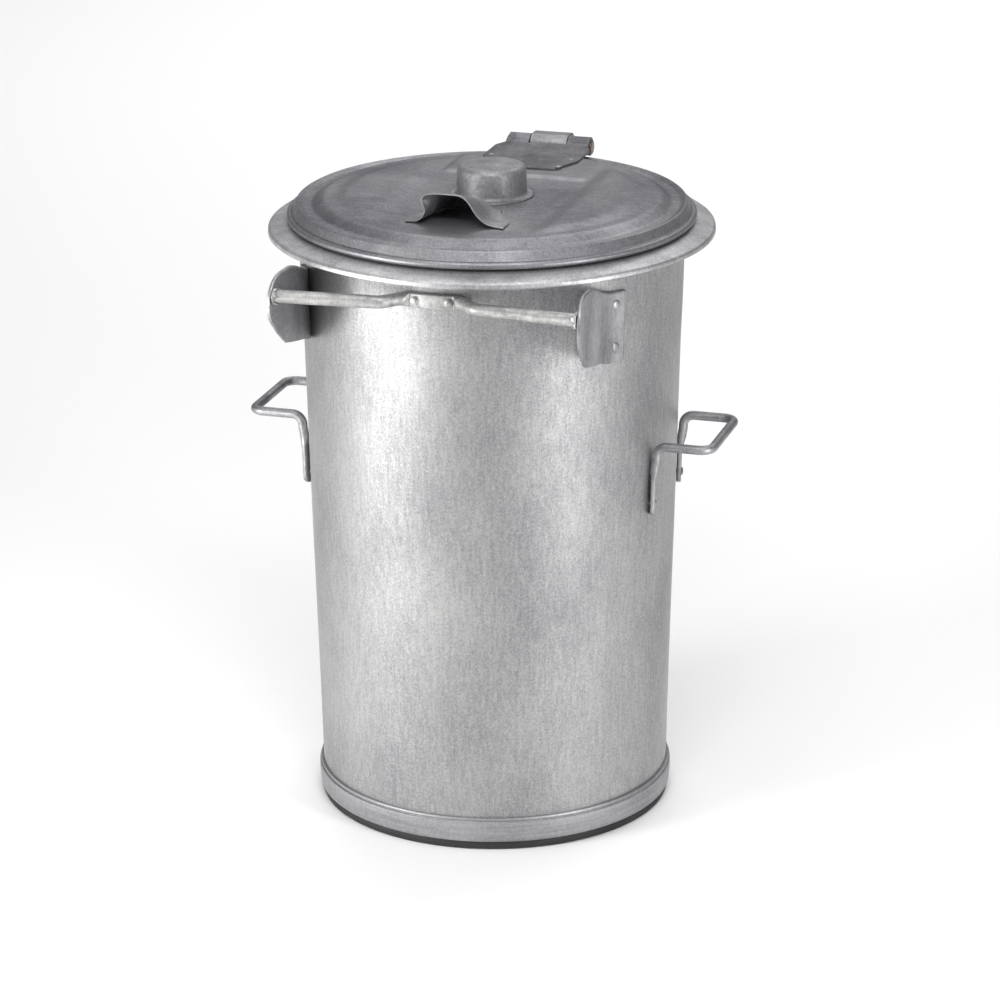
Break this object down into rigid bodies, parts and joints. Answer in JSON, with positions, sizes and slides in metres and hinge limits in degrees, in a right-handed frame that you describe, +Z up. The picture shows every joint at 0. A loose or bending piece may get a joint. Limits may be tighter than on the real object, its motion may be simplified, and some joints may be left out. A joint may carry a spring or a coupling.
{
  "type": "waste can",
  "caption": "Round tapered galvanised steel waste can with a rear-hinged lid, a front lift bar between wing brackets, side handles and a rubber foot ring.",
  "frame": {"origin": "on the floor under the can's axis, at the centre of the foot ring's underside", "axes": "+Z up along the can's axis, -Y to the front (the lift bar), +Y to the hinge, a handle at each X side"},
  "size_m": [0.5836, 0.5482, 0.791],
  "materials": {
    "wall_zinc": "hot-dip galvanised, cloudy, satin",
    "fittings_zinc": "hot-dip galvanised, matt to satin",
    "bar_zinc": "hot-dip galvanised, bright, slightly rough",
    "lid_zinc": "hot-dip galvanised, dull dark grey, satin",
    "pin_steel": "bare steel, dull, lightly rusted",
    "black_rubber": "matt"
  },
  "bodies": {
    "can": {"body_shell": "wall_zinc", "rim_flange": "wall_zinc", "base_hoop": "fittings_zinc", "floor_pan": "wall_zinc", "foot_ring": "black_rubber", "lift_bar": "bar_zinc", "bar_rivets": "bar_zinc", "bar_welds": "bar_zinc", "left_wing": "fittings_zinc", "right_wing": "fittings_zinc", "wing_rivets": "fittings_zinc", "left_handle": "fittings_zinc", "right_handle": "fittings_zinc", "handle_rivets": "fittings_zinc", "hinge_bracket": "fittings_zinc", "bracket_rivets": "fittings_zinc"},
    "lid": {"lid_shell": "lid_zinc", "lid_edge_wire": "fittings_zinc", "lid_boss": "lid_zinc", "boss_weld": "lid_zinc", "lid_grip": "lid_zinc", "grip_rivets": "lid_zinc", "hinge_leaf": "lid_zinc", "leaf_rivets": "lid_zinc", "hinge_pin": "pin_steel", "pin_collar": "pin_steel"}
  },
  "joints": [
    {"name": "lid_hinge", "type": "hinge", "parent": "can", "child": "lid", "pos_m": [0, 0.25, 0.75297], "axis": [-1, 0, 0], "range_deg": [0, 110]}
  ]
}
